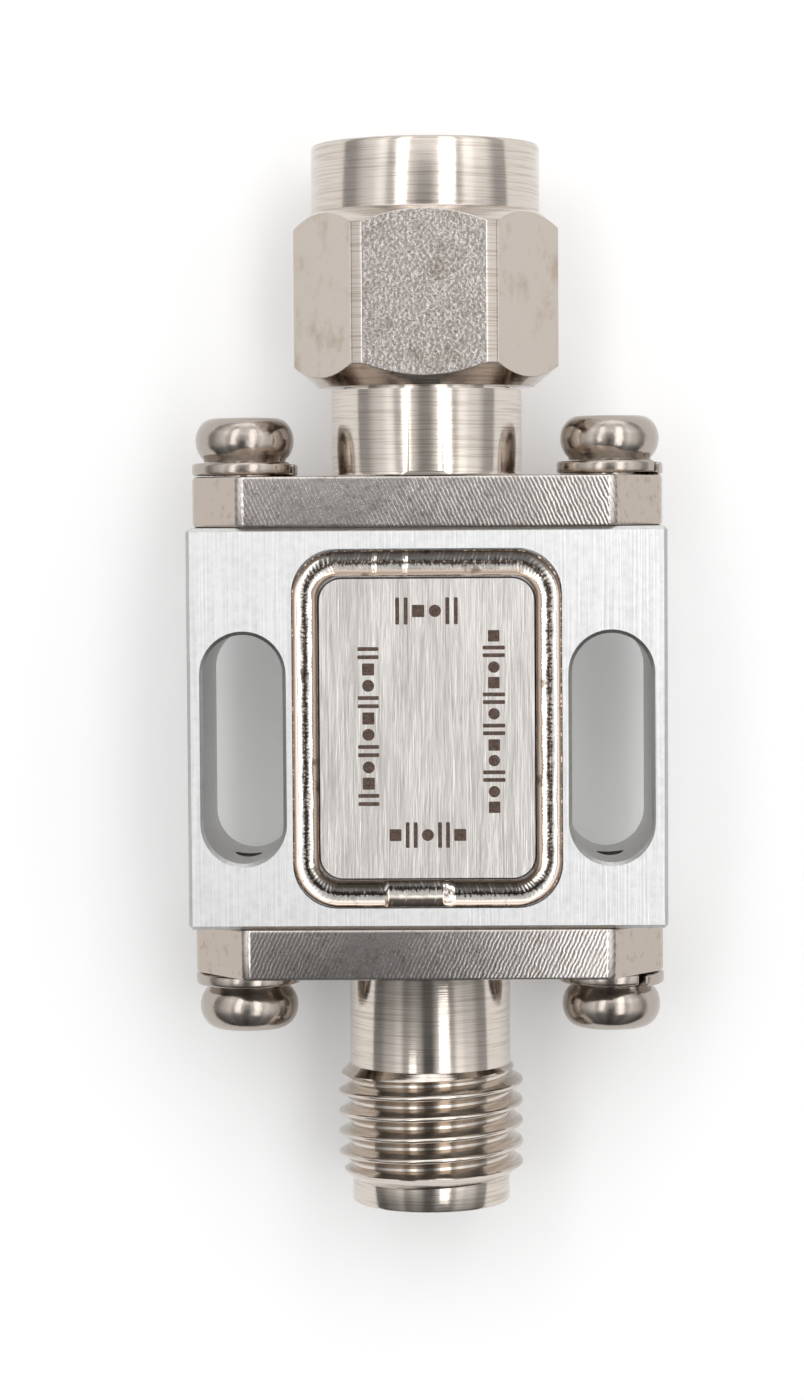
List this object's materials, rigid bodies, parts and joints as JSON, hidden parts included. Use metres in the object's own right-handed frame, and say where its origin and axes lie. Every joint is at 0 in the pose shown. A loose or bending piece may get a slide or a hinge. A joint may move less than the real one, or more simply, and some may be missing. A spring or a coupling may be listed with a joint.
{
  "type": "rf limiter",
  "caption": "Small in-line coaxial power limiter: welded-lid housing with side mounting slots, a flanged plug with a turning nut at one end and a flanged jack at the other.",
  "frame": {"origin": "centre of the housing's back face", "axes": "+Z out of the lid, +Y along the connector axis to the plug, +X across the two mounting slots"},
  "size_m": [0.016, 0.0359, 0.008],
  "materials": {
    "milled_aluminium": "fine milled, matt",
    "brushed_lid": "brushed along the connector axis",
    "weld_metal": "laser weld, rippled, with heat tint",
    "turned_steel": "turned and milled, passivated",
    "nickel_plated_screw": "bright, barrel plated",
    "ptfe": "plain white",
    "gold_plate": "gold plated",
    "spring_bronze": "plain",
    "silicone_rubber": "matt",
    "board_laminate": "matt",
    "diode_chip": "polished",
    "chip_ceramic": "matt",
    "seal_alloy": "plain",
    "seal_glass": "fused"
  },
  "bodies": {
    "limiter": {"housing": "milled_aluminium", "lid": "brushed_lid", "weld_seam": "weld_metal", "plug_shell": "turned_steel", "plug_dielectric": "ptfe", "plug_pin": "gold_plate", "retaining_ring": "spring_bronze", "plug_gasket": "silicone_rubber", "jack_shell": "turned_steel", "jack_dielectric": "ptfe", "jack_contact": "gold_plate", "plug_screw_left": "nickel_plated_screw", "plug_screw_right": "nickel_plated_screw", "jack_screw_left": "nickel_plated_screw", "jack_screw_right": "nickel_plated_screw", "plug_washer_left": "nickel_plated_screw", "plug_washer_right": "nickel_plated_screw", "jack_washer_left": "nickel_plated_screw", "jack_washer_right": "nickel_plated_screw", "plug_seal_ring": "seal_alloy", "plug_seal_glass": "seal_glass", "plug_seal_pin": "gold_plate", "jack_seal_ring": "seal_alloy", "jack_seal_glass": "seal_glass", "jack_seal_pin": "gold_plate", "circuit_board": "board_laminate", "microstrip_lines": "gold_plate", "coarse_diode": "diode_chip", "cleanup_diode": "diode_chip", "coarse_diode_strap": "gold_plate", "cleanup_diode_strap": "gold_plate", "input_capacitor": "chip_ceramic", "output_capacitor": "chip_ceramic", "choke": "chip_ceramic", "input_ribbon": "gold_plate", "output_ribbon": "gold_plate"},
    "coupling_nut": {"coupling_nut": "turned_steel"}
  },
  "joints": [
    {"name": "nut_spin", "type": "hinge", "parent": "limiter", "child": "coupling_nut", "pos_m": [0, 0.014, 0.00315], "axis": [0, 1, 0], "continuous": true}
  ]
}
